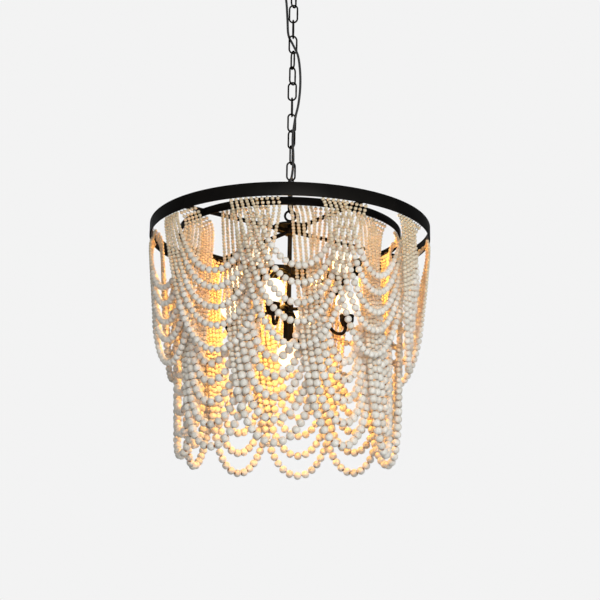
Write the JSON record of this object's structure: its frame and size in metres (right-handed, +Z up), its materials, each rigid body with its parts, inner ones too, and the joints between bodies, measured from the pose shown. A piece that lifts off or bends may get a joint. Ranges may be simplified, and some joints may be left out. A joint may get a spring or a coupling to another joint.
{
  "type": "beaded chandelier",
  "caption": "Beaded chandelier: crossing swags of washed wood beads hang in two tiers from black hoops, with lit globe lamps inside, on a chain with a cord and canopy",
  "frame": {"origin": "the middle of the ceiling bar's top face, against the ceiling", "axes": "+Z up, -Y towards the camera side of the picture, +X to its right"},
  "size_m": [0.5006, 0.5, 0.977],
  "materials": {
    "black_metal": "satin black powder coat",
    "woven_cord": "black woven sleeve",
    "washed_beads": "pale grey-washed wood, matt",
    "lit_glass": "frosted, lit warm white"
  },
  "bodies": {
    "ceiling_mounting": {"ceiling_bar": "black_metal", "canopy": "black_metal", "canopy_collar": "black_metal", "canopy_loop": "black_metal", "cord": "woven_cord"},
    "link_01": {"chain_link_01": "black_metal"},
    "link_02": {"chain_link_02": "black_metal"},
    "link_03": {"chain_link_03": "black_metal"},
    "link_04": {"chain_link_04": "black_metal"},
    "link_05": {"chain_link_05": "black_metal"},
    "link_06": {"chain_link_06": "black_metal"},
    "link_07": {"chain_link_07": "black_metal"},
    "link_08": {"chain_link_08": "black_metal"},
    "link_09": {"chain_link_09": "black_metal"},
    "link_10": {"chain_link_10": "black_metal"},
    "link_11": {"chain_link_11": "black_metal"},
    "link_12": {"chain_link_12": "black_metal"},
    "link_13": {"chain_link_13": "black_metal"},
    "link_14": {"chain_link_14": "black_metal"},
    "link_15": {"chain_link_15": "black_metal"},
    "chandelier": {"stem_eye": "black_metal", "hub_cap": "black_metal", "stem": "black_metal", "outer_hoop": "black_metal", "inner_hoop": "black_metal", "cross_bar_upper": "black_metal", "cross_bar_lower": "black_metal", "upper_lamp_arms": "black_metal", "lower_lamp_arms": "black_metal", "stem_lampholder": "black_metal", "stem_bulb": "lit_glass", "upper_bulb_1": "lit_glass", "upper_bulb_2": "lit_glass", "upper_bulb_3": "lit_glass", "upper_bulb_4": "lit_glass", "lower_bulb_1": "lit_glass", "lower_bulb_2": "lit_glass", "lower_bulb_3": "lit_glass", "lower_bulb_4": "lit_glass", "upper_swag_01": "washed_beads", "upper_swag_02": "washed_beads", "upper_swag_03": "washed_beads", "upper_swag_04": "washed_beads", "upper_swag_05": "washed_beads", "upper_swag_06": "washed_beads", "upper_swag_07": "washed_beads", "upper_swag_08": "washed_beads", "upper_swag_09": "washed_beads", "upper_swag_10": "washed_beads", "lower_swag_01": "washed_beads", "lower_swag_02": "washed_beads", "lower_swag_03": "washed_beads", "lower_swag_04": "washed_beads", "lower_swag_05": "washed_beads", "lower_swag_06": "washed_beads", "lower_swag_07": "washed_beads", "lower_swag_08": "washed_beads", "lower_swag_09": "washed_beads", "lower_swag_10": "washed_beads"}
  },
  "joints": [
    {"name": "link_01_swing", "type": "hinge", "parent": "ceiling_mounting", "child": "link_01", "pos_m": [0, 0, -0.055], "axis": [1, 0, 0], "range_deg": [-5.5, 5.5], "deforming": ["cord"]},
    {"name": "link_02_swing", "type": "hinge", "parent": "link_01", "child": "link_02", "pos_m": [0, 0, -0.0858], "axis": [0, 1, 0], "range_deg": [-5.5, 5.5]},
    {"name": "link_03_swing", "type": "hinge", "parent": "link_02", "child": "link_03", "pos_m": [0, 0, -0.117], "axis": [1, 0, 0], "range_deg": [-5.5, 5.5]},
    {"name": "link_04_swing", "type": "hinge", "parent": "link_03", "child": "link_04", "pos_m": [0, 0, -0.1482], "axis": [0, 1, 0], "range_deg": [-5.5, 5.5]},
    {"name": "link_05_swing", "type": "hinge", "parent": "link_04", "child": "link_05", "pos_m": [0, 0, -0.1794], "axis": [1, 0, 0], "range_deg": [-5.5, 5.5]},
    {"name": "link_06_swing", "type": "hinge", "parent": "link_05", "child": "link_06", "pos_m": [0, 0, -0.2106], "axis": [0, 1, 0], "range_deg": [-5.5, 5.5]},
    {"name": "link_07_swing", "type": "hinge", "parent": "link_06", "child": "link_07", "pos_m": [0, 0, -0.2418], "axis": [1, 0, 0], "range_deg": [-5.5, 5.5]},
    {"name": "link_08_swing", "type": "hinge", "parent": "link_07", "child": "link_08", "pos_m": [0, 0, -0.273], "axis": [0, 1, 0], "range_deg": [-5.5, 5.5]},
    {"name": "link_09_swing", "type": "hinge", "parent": "link_08", "child": "link_09", "pos_m": [0, 0, -0.3042], "axis": [1, 0, 0], "range_deg": [-5.5, 5.5]},
    {"name": "link_10_swing", "type": "hinge", "parent": "link_09", "child": "link_10", "pos_m": [0, 0, -0.3354], "axis": [0, 1, 0], "range_deg": [-5.5, 5.5]},
    {"name": "link_11_swing", "type": "hinge", "parent": "link_10", "child": "link_11", "pos_m": [0, 0, -0.3666], "axis": [1, 0, 0], "range_deg": [-5.5, 5.5]},
    {"name": "link_12_swing", "type": "hinge", "parent": "link_11", "child": "link_12", "pos_m": [0, 0, -0.3978], "axis": [0, 1, 0], "range_deg": [-5.5, 5.5]},
    {"name": "link_13_swing", "type": "hinge", "parent": "link_12", "child": "link_13", "pos_m": [0, 0, -0.429], "axis": [1, 0, 0], "range_deg": [-5.5, 5.5]},
    {"name": "link_14_swing", "type": "hinge", "parent": "link_13", "child": "link_14", "pos_m": [0, 0, -0.4602], "axis": [0, 1, 0], "range_deg": [-5.5, 5.5]},
    {"name": "link_15_swing", "type": "hinge", "parent": "link_14", "child": "link_15", "pos_m": [0, 0, -0.4914], "axis": [1, 0, 0], "range_deg": [-5.5, 5.5]},
    {"name": "chandelier_swing", "type": "hinge", "parent": "link_15", "child": "chandelier", "pos_m": [0, 0, -0.5226], "axis": [0, 1, 0], "range_deg": [-5.5, 5.5]}
  ]
}
